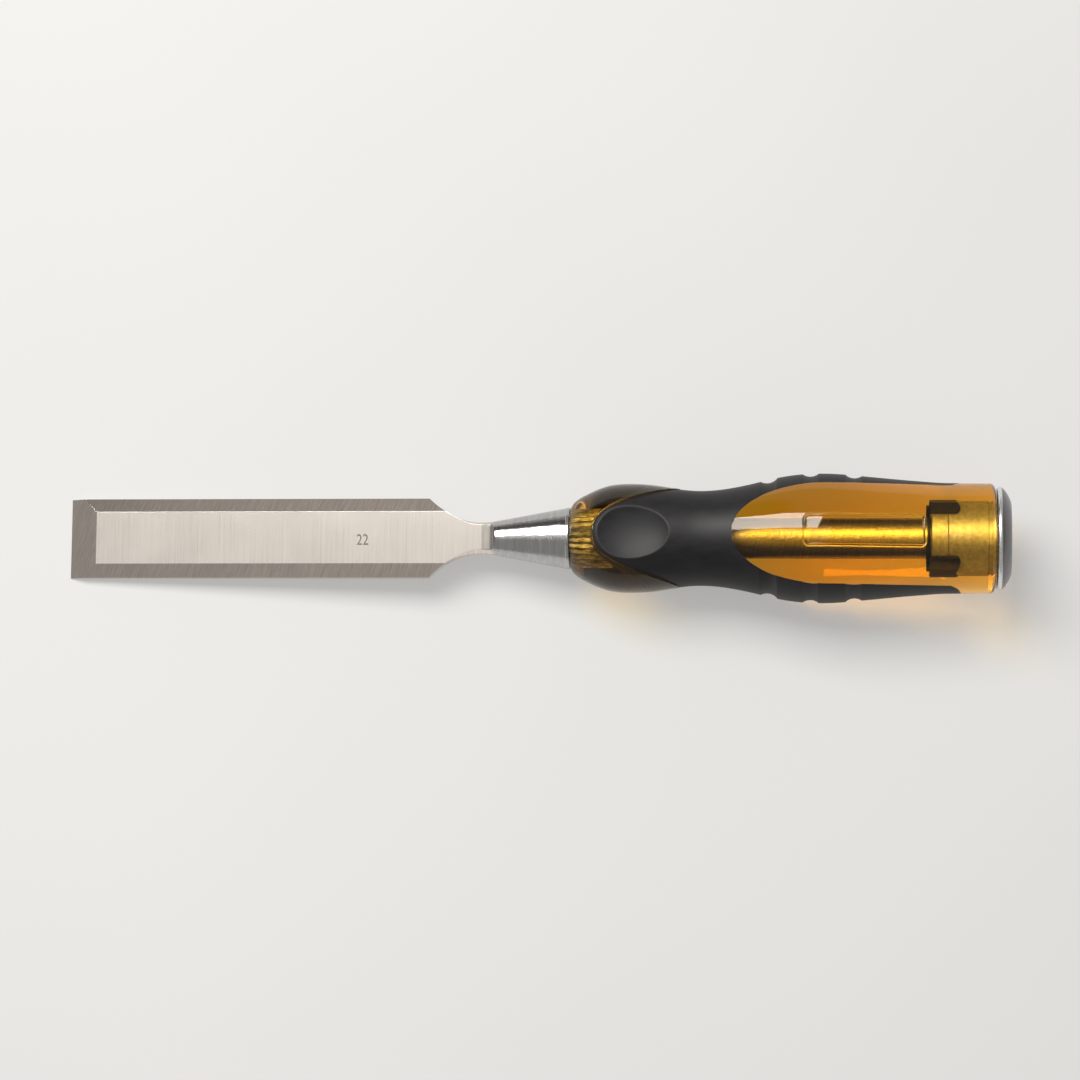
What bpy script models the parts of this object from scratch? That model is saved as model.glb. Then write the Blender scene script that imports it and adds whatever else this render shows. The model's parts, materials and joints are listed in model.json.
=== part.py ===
"""Bench chisel with a through tang, an amber handle, a rubber grip and a steel strike cap.

Every length is in metres. The tool is laid out along its own axis: a station is a distance
from the cutting edge towards the strike cap, a radius is measured from the tool's axis, and a
height is measured from that axis towards the bevelled side of the blade. The whole tool then
lies at rest on a flat surface, on its cutting edge and on the belly of the handle.
"""

import math

import bmesh
import bpy
from mathutils import Euler, Matrix

MM = 0.001
GAP = 0.3 * MM                  # clearance between two pieces that touch
MERGE = 0.00001                 # weld distance of every merging modifier
REACH = 30.0 * MM               # how far a cutter runs past the tool

# Blade
BLADE_WIDTH = 22.0 * MM
BACK_HEIGHT = -2.0 * MM         # the flat back lies below the tool's axis
TIP_THICKNESS = 3.15 * MM
TOP_SLOPE = 0.0136              # the blade thickens towards the shoulder
EDGE_LAND = 0.03 * MM
PRIMARY_ANGLE = math.radians(23.4)
SIDE_FLAT_HALF = 7.25 * MM  # half width of the flat between the side bevels
SIDE_ANGLE = math.radians(21.7)
SHOULDER_STATION = 100.3 * MM
NECK_STATION = 115.0 * MM
SIDE_SLOPE = 0.0119             # the side bevels rise a little less than the flat
SHOULDER_CURVE = 2.2            # power of the concave shoulder curve
SHOULDER_SQUARENESS = 14.0      # how square the forging is where the shoulders begin
SHOULDER_SECTIONS = 12
RUN_OUT_STATION = 114.6 * MM  # where the flat turns into a shallow ramp
RUN_OUT_END_STATION = 117.3 * MM
RUN_OUT_SLOPE = math.radians(9.0)
RUN_OUT_RADIUS = 1.6 * MM  # radius of the step at the end of the ramp
RUN_OUT_STEEP = math.radians(72.0)
RUN_OUT_POINTS = 6

# Neck, bolster, collar and tang
NECK_RADIUS = 4.42 * MM
BOLSTER_STATION = 117.0 * MM
BOLSTER_RIM_RADIUS = 8.5 * MM
RIM_STATION = 138.5 * MM
RIM_END_STATION = 139.35 * MM
COLLAR_RADIUS = 5.6 * MM
COLLAR_END_STATION = 152.0 * MM
SPLINE_COUNT = 24
SPLINE_DEPTH = 0.35 * MM
TANG_RADIUS = 3.8 * MM
TANG_END_STATION = 248.0 * MM

# Handle: station, radius of the clear core, and how far the grip stands above that radius
HANDLE_SHAPE = (
    (139.6 * MM, 8.75 * MM, 0.0),
    (140.4 * MM, 9.85 * MM, -0.42 * MM),
    (141.8 * MM, 10.95 * MM, -0.42 * MM),
    (144.6 * MM, 12.45 * MM, -0.42 * MM),
    (147.4 * MM, 13.7 * MM, -0.5 * MM),
    (151.0 * MM, 14.7 * MM, -0.42 * MM),
    (156.0 * MM, 15.02 * MM, -0.42 * MM),
    (162.0 * MM, 14.7 * MM, -0.42 * MM),
    (168.0 * MM, 13.8 * MM, -0.2 * MM),
    (174.2 * MM, 13.05 * MM, 0.0),
    (180.0 * MM, 13.3 * MM, 0.0),
    (186.0 * MM, 14.25 * MM, 0.0),
    (192.0 * MM, 15.6 * MM, 0.0),
    (197.5 * MM, 16.85 * MM, 0.0),
    (203.0 * MM, 17.58 * MM, 0.0),
    (208.3 * MM, 17.78 * MM, 0.0),
    (213.6 * MM, 17.58 * MM, 0.0),
    (222.0 * MM, 16.8 * MM, 0.0),
    (230.0 * MM, 16.05 * MM, 0.0),
    (236.0 * MM, 15.5 * MM, 0.05 * MM),
    (241.0 * MM, 15.1 * MM, 0.1 * MM),
    (247.0 * MM, 15.1 * MM, 0.0),
    (254.4 * MM, 15.05 * MM, 0.0),
)
HANDLE_END_STATION = 255.65 * MM
HANDLE_END_RADIUS = 13.8 * MM
PROFILE_SPLITS = 3              # spans between two stations of the handle's shape

# Seat that the grip is moulded on: station and radius
SEAT_SHAPE = (
    (144.9 * MM, 9.0 * MM),
    (152.0 * MM, 10.8 * MM),
    (163.0 * MM, 11.0 * MM),
    (174.0 * MM, 10.5 * MM),
    (183.0 * MM, 11.3 * MM),
    (196.0 * MM, 14.0 * MM),
    (208.0 * MM, 15.0 * MM),
    (219.0 * MM, 14.6 * MM),
    (231.0 * MM, 13.3 * MM),
    (247.5 * MM, 12.7 * MM),
)

# Grip
PAD_STATION = 146.1 * MM  # front of the thumb pads
PAD_END_STATION = 170.5 * MM
PAD_SPREAD = 3.85 * MM          # half width of a pad one millimetre behind its front
PAD_POWER = 0.4
PAD_POINTS = 12
DIMPLE_STATION = 156.5 * MM
DIMPLE_AXES = (14.35 * MM, 13.3 * MM, 6.0 * MM)
DIMPLE_FLOOR = 11.75 * MM  # height of the dimple's lowest point
WINDOW_STATION = 183.9 * MM  # front of the clear windows
WINDOW_NOSE = 26.0 * MM
WINDOW_HALF_WIDTH = 13.9 * MM
WINDOW_POINTS = 14
STRIP_END_STATION = 246.2 * MM
STRIP_END_RADIUS = 8.0 * MM
STRIP_POINTS = 12
NOTCH_STATIONS = (193.3 * MM, 205.2 * MM, 217.3 * MM)
NOTCH_RADIUS = 3.7 * MM
NOTCH_DEPTH = 0.8 * MM

# Steel pieces in the end of the handle
WASHER_STATION = 236.4 * MM
WASHER_END_STATION = 237.5 * MM
WASHER_RADIUS = 6.2 * MM
SOCKET_STATION = 237.8 * MM
SOCKET_STEP_STATION = 242.6 * MM
SOCKET_END_STATION = 255.65 * MM
SOCKET_FRONT_RADIUS = 6.7 * MM
SOCKET_RADIUS = 7.0 * MM
SOCKET_BORE_END = TANG_END_STATION + GAP
SLOT_END_STATION = 246.1 * MM   # round end of the slots for the washer's tabs
SLOT_RADIUS = 1.25 * MM
TAB_HALF_HEIGHT = 2.2 * MM
SLOT_FLOOR = 4.5 * MM
BOSS_RADIUS = 4.5 * MM
BOSS_END_STATION = 257.9 * MM
CAP_STATION = 256.0 * MM
CAP_END_STATION = 260.0 * MM
CAP_RADIUS = 14.15 * MM
CAP_FACE_RADIUS = 9.6 * MM
CAP_EDGE_STATION = 257.1 * MM
CAP_EDGE_POINTS = 9
CAP_EDGE_POWER = 1.5  # above 1, so that the corner is nearer to a chamfer than to a round

STEEL_STEPS = 48
HANDLE_STEPS = 64
BORE_STEPS = 40
NOTCH_STEPS = 60


# Scene and materials

def clear_scene():
    for item in list(bpy.data.objects):
        bpy.data.objects.remove(item, do_unlink=True)


def new_collection(name):
    collection = bpy.data.collections.new(name)
    bpy.context.scene.collection.children.link(collection)
    return collection


def new_material(name, colour, roughness, metallic, transmission=0.0):
    material = bpy.data.materials.new(name)
    material.use_nodes = True
    shader = material.node_tree.nodes["Principled BSDF"]
    shader.inputs["Base Color"].default_value = (*colour, 1.0)
    shader.inputs["Roughness"].default_value = roughness
    shader.inputs["Metallic"].default_value = metallic
    shader.inputs["Transmission Weight"].default_value = transmission
    return material


# Shapes

def add_mesh(name, points, edges, collection):
    """A mesh of plain points and edges, laid in its object's own axes."""
    mesh = bpy.data.meshes.new(name)
    mesh.from_pydata(points, edges, [])
    item = bpy.data.objects.new(name, mesh)
    collection.objects.link(item)
    return item


def turned(name, profile, collection, steps, closed=False):
    """A turned piece from (radius, station) points, outer side first, cap end to tip end."""
    points = [(radius, 0.0, station) for radius, station in profile]
    edges = [(i, i + 1) for i in range(len(points) - 1)]
    if closed:
        edges.append((len(points) - 1, 0))
    item = add_mesh(name, points, edges, collection)
    item.rotation_euler = (0.0, math.radians(90.0), 0.0)
    screw = item.modifiers.new("Turn", "SCREW")
    screw.axis = "Z"
    screw.steps = steps
    screw.render_steps = steps
    screw.use_merge_vertices = True
    screw.merge_threshold = MERGE
    screw.use_smooth_shade = True
    return item


def prism(name, outline, depth, collection, upright=False):
    """A solid from a flat outline of (station, offset) points, as deep each way as depth.

    The outline lies flat (offset across the blade) and is extruded up and down, or stands
    upright (offset is a height) and is extruded sideways.
    """
    curve = bpy.data.curves.new(name, "CURVE")
    curve.dimensions = "2D"
    curve.fill_mode = "BOTH"
    curve.extrude = depth
    spline = curve.splines.new("POLY")
    spline.points.add(len(outline) - 1)
    for point, (station, offset) in zip(spline.points, outline):
        point.co = (station, offset, 0.0, 1.0)
    spline.use_cyclic_u = True
    item = bpy.data.objects.new(name, curve)
    collection.objects.link(item)
    if upright:
        item.rotation_euler = (math.radians(90.0), 0.0, 0.0)
    return as_mesh(item, collection)


def as_mesh(curve_object, collection):
    """Replace a curve object by a welded mesh in the same place."""
    bpy.context.view_layer.update()
    graph = bpy.context.evaluated_depsgraph_get()
    mesh = bpy.data.meshes.new_from_object(curve_object.evaluated_get(graph))
    work = bmesh.new()
    work.from_mesh(mesh)
    bmesh.ops.remove_doubles(work, verts=work.verts, dist=MERGE)
    bmesh.ops.recalc_face_normals(work, faces=work.faces)
    work.to_mesh(mesh)
    work.free()
    name = curve_object.name
    placed = curve_object.matrix_world.copy()
    bpy.data.objects.remove(curve_object, do_unlink=True)
    item = bpy.data.objects.new(name, mesh)
    item.matrix_world = placed
    collection.objects.link(item)
    return item


def ellipsoid(name, centre, axes, collection):
    mesh = bpy.data.meshes.new(name)
    work = bmesh.new()
    bmesh.ops.create_uvsphere(work, u_segments=48, v_segments=24, radius=1.0)
    bmesh.ops.scale(work, vec=axes, verts=work.verts)
    work.to_mesh(mesh)
    work.free()
    item = bpy.data.objects.new(name, mesh)
    item.location = centre
    collection.objects.link(item)
    return item


def combine(item, other, operation):
    step = item.modifiers.new(operation.title(), "BOOLEAN")
    step.operation = operation
    step.solver = "EXACT"
    step.object = other
    return step


def cut(item, cutter):
    combine(item, cutter, "DIFFERENCE")


def join(item, addition):
    combine(item, addition, "UNION")


def hermite(knots, splits):
    """Points on a smooth curve through (position, value) knots, ends included."""
    slopes = []
    for i in range(len(knots)):
        before = knots[max(i - 1, 0)]
        after = knots[min(i + 1, len(knots) - 1)]
        slopes.append((after[1] - before[1]) / (after[0] - before[0]))
    points = []
    for i in range(len(knots) - 1):
        (start, low), (end, high) = knots[i], knots[i + 1]
        span = end - start
        for step in range(splits):
            t = step / splits
            value = (
                (2 * t ** 3 - 3 * t ** 2 + 1) * low
                + (t ** 3 - 2 * t ** 2 + t) * span * slopes[i]
                + (3 * t ** 2 - 2 * t ** 3) * high
                + (t ** 3 - t ** 2) * span * slopes[i + 1]
            )
            points.append((start + t * span, value))
    points.append(knots[-1])
    return points


def arc(centre, radius, start, end, count):
    """Points on an arc, from the start angle to the end angle in radians."""
    points = []
    for i in range(count):
        angle = start + (end - start) * i / (count - 1)
        points.append((centre[0] + radius * math.cos(angle), centre[1] + radius * math.sin(angle)))
    return points


# Outlines and profiles

def top_height(station):
    """Height of the blade's upper flat at a station."""
    return BACK_HEIGHT + TIP_THICKNESS + TOP_SLOPE * station


def neck_section(station):
    """Ring of points around the forging between the blade's shoulders and the round neck.

    It is a superellipse: nearly square at the shoulders and round at the neck.
    """
    u = max((station - SHOULDER_STATION) / (NECK_STATION - SHOULDER_STATION), 0.0)
    spread = (BLADE_WIDTH / 2 - NECK_RADIUS) * (1.0 - u) ** SHOULDER_CURVE
    half = NECK_RADIUS + spread - EDGE_LAND * (1.0 - u)
    ease = u * u * (3.0 - 2.0 * u)
    below = -BACK_HEIGHT + (NECK_RADIUS + BACK_HEIGHT) * ease - EDGE_LAND * (1.0 - u)
    power = 2.0 + SHOULDER_SQUARENESS * (1.0 - u) ** 3
    ring = []
    for i in range(STEEL_STEPS):
        angle = math.tau * i / STEEL_STEPS
        across, up = math.sin(angle), math.cos(angle)
        depth = below if up < 0.0 else NECK_RADIUS
        reach = ((abs(across) / half) ** power + (abs(up) / depth) ** power) ** (-1.0 / power)
        ring.append((station, reach * across, reach * up))
    return ring


def top_cut_outline():
    """Side view of what is ground off: the flat, a shallow ramp, and the step at its end."""
    start = (RUN_OUT_STATION, top_height(RUN_OUT_STATION))
    run = RUN_OUT_END_STATION - RUN_OUT_STATION
    ramp_top = start[1] + run * math.tan(RUN_OUT_SLOPE)
    centre = (
        RUN_OUT_END_STATION - RUN_OUT_RADIUS * math.sin(RUN_OUT_SLOPE),
        ramp_top + RUN_OUT_RADIUS * math.cos(RUN_OUT_SLOPE),
    )
    level = -math.pi / 2
    step = arc(centre, RUN_OUT_RADIUS, level + RUN_OUT_SLOPE, level + RUN_OUT_STEEP, RUN_OUT_POINTS)
    rise = REACH - step[-1][1]
    top = (step[-1][0] + rise / math.tan(RUN_OUT_STEEP), REACH)
    return [(-REACH, top_height(-REACH)), start] + step + [top, (-REACH, REACH)]


def primary_cut_outline():
    """Side view of what is ground off above the cutting bevel."""
    edge = (0.0, BACK_HEIGHT + EDGE_LAND)
    rise = math.tan(PRIMARY_ANGLE)
    run = 10.0 * MM
    return [
        (-run, edge[1] - run * rise),
        (run, edge[1] + run * rise),
        (run, REACH),
        (-run, REACH),
    ]


def pad_half_width(station):
    """Half width of a thumb pad, with stations and widths in metres."""
    behind = max(station - PAD_STATION, 0.0) / MM
    return PAD_SPREAD * behind ** PAD_POWER


def pad_cut_outline(inset):
    """Plan of the front of the handle outside the thumb pad."""
    curve = []
    for i in range(PAD_POINTS):
        u = (i / (PAD_POINTS - 1)) ** 2
        station = PAD_STATION + u * (PAD_END_STATION - PAD_STATION)
        curve.append((station - inset, pad_half_width(station) + inset * u))
    mirrored = [(station, -offset) for station, offset in reversed(curve[1:])]
    end = curve[-1][0]
    front = PAD_STATION - REACH
    return curve + [(end, REACH), (front, REACH), (front, -REACH), (end, -REACH)] + mirrored


def window_outline(inset):
    """Plan of a clear window: an elliptical nose and straight sides, open at the back."""
    half = WINDOW_HALF_WIDTH - inset
    nose = WINDOW_NOSE - inset
    centre = WINDOW_STATION + WINDOW_NOSE
    curve = []
    for i in range(WINDOW_POINTS):
        angle = math.radians(90.0 + 180.0 * i / (WINDOW_POINTS - 1))
        curve.append((centre + nose * math.cos(angle), half * math.sin(angle)))
    back = HANDLE_END_STATION + REACH
    return curve + [(back, -half), (back, half)]


def strip_end_outline(inset):
    """Side view of the handle behind the round ends of the grip's side strips."""
    radius = STRIP_END_RADIUS + inset
    centre = (STRIP_END_STATION - STRIP_END_RADIUS, 0.0)
    quarter = math.radians(90.0)
    curve = arc(centre, radius, -quarter, quarter, STRIP_POINTS)
    back = HANDLE_END_STATION + REACH
    return curve + [(centre[0], REACH), (back, REACH), (back, -REACH), (centre[0], -REACH)]


def grip_profile(inner, outer_extra):
    """Closed section of the grip, or of the space it fills, before it is cut to shape."""
    outer = [(station, radius + rise) for station, radius, rise in HANDLE_SHAPE]
    front = SEAT_SHAPE[0][0]
    back = SEAT_SHAPE[-1][0]
    skin = [(s, r + outer_extra) for s, r in hermite(outer, PROFILE_SPLITS) if front < s < back]
    seat = [(s, r + inner) for s, r in hermite(SEAT_SHAPE, PROFILE_SPLITS)]
    return [(r, s) for s, r in reversed(skin)] + [(r, s) for s, r in seat]


# Sub-parts

def build_blade_tang(parts, cutters, material):
    """Blade, neck, bolster, collar and tang: one forging."""
    profile = [
        (0.0, TANG_END_STATION),
        (TANG_RADIUS - 0.5 * MM, TANG_END_STATION),
        (TANG_RADIUS, TANG_END_STATION - 0.5 * MM),
        (TANG_RADIUS, RIM_END_STATION),
        (BOLSTER_RIM_RADIUS - 0.35 * MM, RIM_END_STATION),
        (BOLSTER_RIM_RADIUS, RIM_END_STATION - 0.35 * MM),
        (BOLSTER_RIM_RADIUS, RIM_STATION),
        (NECK_RADIUS + 0.5 * MM, BOLSTER_STATION + 2.7 * MM),
        (NECK_RADIUS + 0.28 * MM, BOLSTER_STATION + 1.4 * MM),
        (NECK_RADIUS + 0.13 * MM, BOLSTER_STATION),
        (NECK_RADIUS - 0.02 * MM, NECK_STATION),
        (NECK_RADIUS - 0.3 * MM, NECK_STATION - MM),
        (0.0, NECK_STATION - MM),
    ]
    item = turned("blade_tang", profile, parts, STEEL_STEPS)
    join(item, build_neck(cutters))
    half = BLADE_WIDTH / 2
    plan = [(0.0, half), (SHOULDER_STATION, half), (SHOULDER_STATION, -half), (0.0, -half)]
    plate = prism("blade_plate", plan, 2 * TIP_THICKNESS, cutters)
    plate.location.z = BACK_HEIGHT + 2 * TIP_THICKNESS
    join(item, plate)
    join(item, build_collar(cutters))
    cut(item, prism("top_cutter", top_cut_outline(), REACH, cutters, upright=True))
    cut(item, prism("primary_cutter", primary_cut_outline(), REACH, cutters, upright=True))
    for side in (1, -1):
        cut(item, side_bevel_cutter(side, cutters))
    item.data.materials.append(material)
    return item


def build_neck(cutters):
    """Loft from the square shoulders into the round neck; the two sections are unlike."""
    rings = [neck_section(SHOULDER_STATION - MM)]
    for i in range(SHOULDER_SECTIONS):
        u = (i / (SHOULDER_SECTIONS - 1)) ** 1.3
        rings.append(neck_section(SHOULDER_STATION + u * (NECK_STATION - SHOULDER_STATION)))
    end = NECK_STATION + 0.6 * MM
    rings.append([(end, 0.99 * across, 0.99 * up) for station, across, up in rings[-1]])
    work = bmesh.new()
    rows = [[work.verts.new(point) for point in ring] for ring in rings]
    for low, high in zip(rows, rows[1:]):
        for i in range(STEEL_STEPS):
            j = (i + 1) % STEEL_STEPS
            work.faces.new((low[i], low[j], high[j], high[i]))
    work.faces.new(rows[0])
    work.faces.new(rows[-1])
    bmesh.ops.recalc_face_normals(work, faces=work.faces)
    mesh = bpy.data.meshes.new("neck")
    work.to_mesh(mesh)
    work.free()
    item = bpy.data.objects.new("neck", mesh)
    cutters.objects.link(item)
    return item


def build_collar(cutters):
    """Splined collar behind the bolster, as a toothed outline extruded along the tool."""
    outline = []
    for i in range(2 * SPLINE_COUNT):
        angle = math.pi * (i + 0.5) / SPLINE_COUNT
        radius = COLLAR_RADIUS - SPLINE_DEPTH * (i % 2)
        outline.append((radius * math.cos(angle), radius * math.sin(angle)))
    half_length = (COLLAR_END_STATION - RIM_STATION) / 2
    collar = prism("collar", outline, half_length, cutters)
    collar.rotation_euler = (0.0, math.radians(90.0), 0.0)
    collar.location.x = RIM_STATION + half_length
    return collar


def side_bevel_cutter(side, cutters):
    """Wedge over one side bevel, tilted with the blade's upper flat."""
    reach = BLADE_WIDTH / 2
    outline = [
        (SIDE_FLAT_HALF, 0.0),
        (SIDE_FLAT_HALF + reach, -reach * math.tan(SIDE_ANGLE)),
        (SIDE_FLAT_HALF + reach, reach),
        (SIDE_FLAT_HALF, reach),
    ]
    outline = [(side * across, height) for across, height in outline]
    middle = SHOULDER_STATION / 2
    wedge = prism("side_cutter", outline, 0.6 * SHOULDER_STATION, cutters)
    along = Euler((math.radians(90.0), 0.0, math.radians(90.0))).to_matrix()
    tilt = Matrix.Rotation(-math.atan(SIDE_SLOPE), 3, "Y")
    wedge.rotation_euler = (tilt @ along).to_euler()
    wedge.location = (middle, 0.0, top_height(0.0) + SIDE_SLOPE * middle)
    return wedge


def cut_pads_and_windows(item, inset, cutters):
    """Trim a turned ring to the plan of the grip; a positive inset leaves it larger."""
    cut(item, prism("pad_cutter", pad_cut_outline(inset), REACH, cutters))
    cut(item, prism("window_cutter", window_outline(inset), REACH, cutters))
    cut(item, prism("strip_cutter", strip_end_outline(inset), REACH, cutters, upright=True))


def build_handle_core(parts, cutters, material):
    """Clear amber handle with the seat of the grip and a stepped bore for the steel."""
    knots = [(station, radius) for station, radius, rise in HANDLE_SHAPE]
    skin = [(radius, station) for station, radius in reversed(hermite(knots, PROFILE_SPLITS))]
    front = HANDLE_SHAPE[0][0]
    outer = [(0.0, HANDLE_END_STATION), (HANDLE_END_RADIUS, HANDLE_END_STATION)] + skin + [(0.0, front)]
    item = turned("handle_core", outer, parts, HANDLE_STEPS)
    seat = turned("grip_seat", grip_profile(-GAP, REACH / 3), cutters, HANDLE_STEPS, closed=True)
    cut_pads_and_windows(seat, GAP, cutters)
    cut(item, seat)
    bore = [
        (0.0, HANDLE_END_STATION + GAP),
        (SOCKET_RADIUS + GAP, HANDLE_END_STATION + GAP),
        (SOCKET_RADIUS + GAP, WASHER_STATION - GAP),
        (TANG_RADIUS + GAP, WASHER_STATION - GAP),
        (TANG_RADIUS + GAP, COLLAR_END_STATION + GAP),
        (COLLAR_RADIUS + GAP, COLLAR_END_STATION + GAP),
        (COLLAR_RADIUS + GAP, RIM_END_STATION),
        (0.0, RIM_END_STATION),
    ]
    cut(item, turned("bore_cutter", bore, cutters, BORE_STEPS))
    item.data.materials.append(material)
    return item


def build_grip(parts, cutters, material):
    """Rubber sleeve with two thumb pads and two notched side strips."""
    item = turned("grip", grip_profile(0.0, 0.0), parts, HANDLE_STEPS, closed=True)
    cut_pads_and_windows(item, 0.0, cutters)
    for side in (1, -1):
        centre = (DIMPLE_STATION, 0.0, side * (DIMPLE_FLOOR + DIMPLE_AXES[2]))
        cut(item, ellipsoid("dimple_cutter", centre, DIMPLE_AXES, cutters))
    for station in NOTCH_STATIONS:
        cut(item, notch_cutter(station, cutters))
    item.data.materials.append(material)
    return item


def notch_cutter(station, cutters):
    """Ring that scoops one notch out of both side strips."""
    outer = [(position, radius + rise) for position, radius, rise in HANDLE_SHAPE]
    nearest = min(hermite(outer, 4 * PROFILE_SPLITS), key=lambda point: abs(point[0] - station))
    ring_radius = nearest[1] + NOTCH_RADIUS - NOTCH_DEPTH
    section = arc((ring_radius, station), NOTCH_RADIUS, 0.1, 0.1 - math.tau, 21)[:-1]
    return turned("notch_cutter", section, cutters, NOTCH_STEPS, closed=True)


def slot_outline(side, inset):
    """Plan of a slot along one side of the socket; a positive inset gives the tab in it."""
    middle = side * (SLOT_FLOOR + SLOT_RADIUS)
    radius = SLOT_RADIUS - inset
    front = SOCKET_STATION - 2 * GAP
    quarter = math.pi / 2
    end = arc((SLOT_END_STATION - SLOT_RADIUS, middle), radius, -quarter, quarter, 9)
    return end + [(front, middle + radius), (front, middle - radius)]


def build_tang_washer(parts, cutters, material):
    """Washer in front of the socket, with two locking tabs bent back into its slots."""
    profile = [
        (WASHER_RADIUS, WASHER_END_STATION),
        (WASHER_RADIUS, WASHER_STATION),
        (TANG_RADIUS + GAP, WASHER_STATION),
        (TANG_RADIUS + GAP, WASHER_END_STATION),
    ]
    item = turned("tang_washer", profile, parts, STEEL_STEPS, closed=True)
    for side in (1, -1):
        join(item, prism("tab", slot_outline(side, GAP), TAB_HALF_HEIGHT, cutters))
    item.data.materials.append(material)
    return item


def build_end_socket(parts, cutters, material):
    """Socket over the end of the tang, with a boss for the cap and a slot along each side."""
    chamfer = 0.4 * MM
    profile = [
        (0.0, BOSS_END_STATION),
        (BOSS_RADIUS, BOSS_END_STATION),
        (BOSS_RADIUS, SOCKET_END_STATION),
        (SOCKET_RADIUS, SOCKET_END_STATION),
        (SOCKET_RADIUS, SOCKET_STEP_STATION + chamfer),
        (SOCKET_FRONT_RADIUS, SOCKET_STEP_STATION),
        (SOCKET_FRONT_RADIUS, SOCKET_STATION + chamfer),
        (SOCKET_FRONT_RADIUS - chamfer, SOCKET_STATION),
        (TANG_RADIUS + GAP, SOCKET_STATION),
        (TANG_RADIUS + GAP, SOCKET_BORE_END),
        (0.0, SOCKET_BORE_END),
    ]
    item = turned("end_socket", profile, parts, STEEL_STEPS)
    for side in (1, -1):
        cut(item, prism("slot_cutter", slot_outline(side, 0.0), REACH, cutters))
    item.data.materials.append(material)
    return item


def build_strike_cap(parts, material):
    """Cap with a domed edge, a flat striking face and a blind recess for the socket's boss."""
    edge_width = CAP_RADIUS - CAP_FACE_RADIUS
    edge_height = CAP_END_STATION - CAP_EDGE_STATION
    dome = []
    for i in range(CAP_EDGE_POINTS):
        angle = math.radians(90.0 * (1.0 - i / (CAP_EDGE_POINTS - 1)))
        across = edge_width * max(math.cos(angle), 0.0) ** CAP_EDGE_POWER
        along = edge_height * math.sin(angle) ** CAP_EDGE_POWER
        dome.append((CAP_FACE_RADIUS + across, CAP_EDGE_STATION + along))
    profile = [(0.0, CAP_END_STATION)] + dome + [
        (CAP_RADIUS, CAP_STATION + 0.6 * MM),
        (CAP_RADIUS - 0.5 * MM, CAP_STATION),
        (BOSS_RADIUS + GAP, CAP_STATION),
        (BOSS_RADIUS + GAP, BOSS_END_STATION + GAP),
        (0.0, BOSS_END_STATION + GAP),
    ]
    item = turned("strike_cap", profile, parts, STEEL_STEPS)
    item.data.materials.append(material)
    return item


# The whole tool

def corners_of(pieces):
    """World positions of every corner of the finished pieces."""
    bpy.context.view_layer.update()
    graph = bpy.context.evaluated_depsgraph_get()
    corners = []
    for piece in pieces:
        shape = piece.evaluated_get(graph)
        corners += [piece.matrix_world @ vertex.co for vertex in shape.to_mesh().vertices]
        shape.to_mesh_clear()
    return corners


def lay_at_rest(pieces, axis):
    """Lay the tool on its cutting edge and its handle, centred over the origin."""
    handle = [c for c in corners_of(pieces) if c.x > HANDLE_SHAPE[0][0]]
    steepest = max((BACK_HEIGHT - c.z) / c.x for c in handle)
    axis.rotation_euler = (0.0, -math.atan(steepest), 0.0)
    corners = corners_of(pieces)
    for i in (0, 1):
        axis.location[i] = -(min(c[i] for c in corners) + max(c[i] for c in corners)) / 2
    axis.location.z = -min(c.z for c in corners)


def main():
    clear_scene()
    parts = new_collection("bench_chisel")
    cutters = new_collection("cutters")
    steel = new_material("ground_steel", (0.62, 0.60, 0.58), 0.32, 1.0)
    plated = new_material("plated_steel", (0.56, 0.56, 0.58), 0.22, 1.0)
    dark = new_material("dark_steel", (0.06, 0.055, 0.05), 0.45, 1.0)
    amber = new_material("amber_plastic", (0.85, 0.42, 0.06), 0.08, 0.0, transmission=0.8)
    rubber = new_material("black_rubber", (0.045, 0.045, 0.047), 0.62, 0.0)
    pieces = [
        build_blade_tang(parts, cutters, steel),
        build_handle_core(parts, cutters, amber),
        build_grip(parts, cutters, rubber),
        build_tang_washer(parts, cutters, dark),
        build_end_socket(parts, cutters, plated),
        build_strike_cap(parts, plated),
    ]
    axis = bpy.data.objects.new("tool_axis", None)
    parts.objects.link(axis)
    for piece in pieces:
        piece.parent = axis
    for cutter in cutters.objects:
        cutter.parent = axis
        cutter.hide_render = True
        cutter.display_type = "WIRE"
    lay_at_rest(pieces, axis)


main()
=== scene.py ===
"""Looks of a through-tang bench chisel: ground steel, clear amber plastic and moulded rubber.

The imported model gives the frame. Every visible piece is rebuilt here as a finer mesh in the tool's
own axes. A station is a distance from the cutting edge along the tool. A height is measured from
the tool's axis towards the bevelled side of the blade. Lengths are in metres, angles in radians
unless a name or a docstring says degrees.
"""

import json
import math

import bmesh
import bpy
import numpy as np
from mathutils import Matrix, Vector

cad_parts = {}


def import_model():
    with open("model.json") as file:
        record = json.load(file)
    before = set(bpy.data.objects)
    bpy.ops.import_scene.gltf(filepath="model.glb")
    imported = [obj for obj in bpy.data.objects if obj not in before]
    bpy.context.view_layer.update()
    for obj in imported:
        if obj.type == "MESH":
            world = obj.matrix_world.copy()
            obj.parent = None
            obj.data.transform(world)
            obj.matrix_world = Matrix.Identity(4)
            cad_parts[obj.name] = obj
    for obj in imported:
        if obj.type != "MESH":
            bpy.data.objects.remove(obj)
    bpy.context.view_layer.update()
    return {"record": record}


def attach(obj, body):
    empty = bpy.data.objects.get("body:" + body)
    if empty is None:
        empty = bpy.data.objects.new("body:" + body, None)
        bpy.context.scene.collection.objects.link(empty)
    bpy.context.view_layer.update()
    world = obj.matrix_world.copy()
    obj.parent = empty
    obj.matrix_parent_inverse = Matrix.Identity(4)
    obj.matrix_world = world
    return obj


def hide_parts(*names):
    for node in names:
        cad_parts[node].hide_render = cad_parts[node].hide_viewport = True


MM = 0.001
WELD = 0.001 * MM               # points nearer the axis than this lie on it
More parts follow.
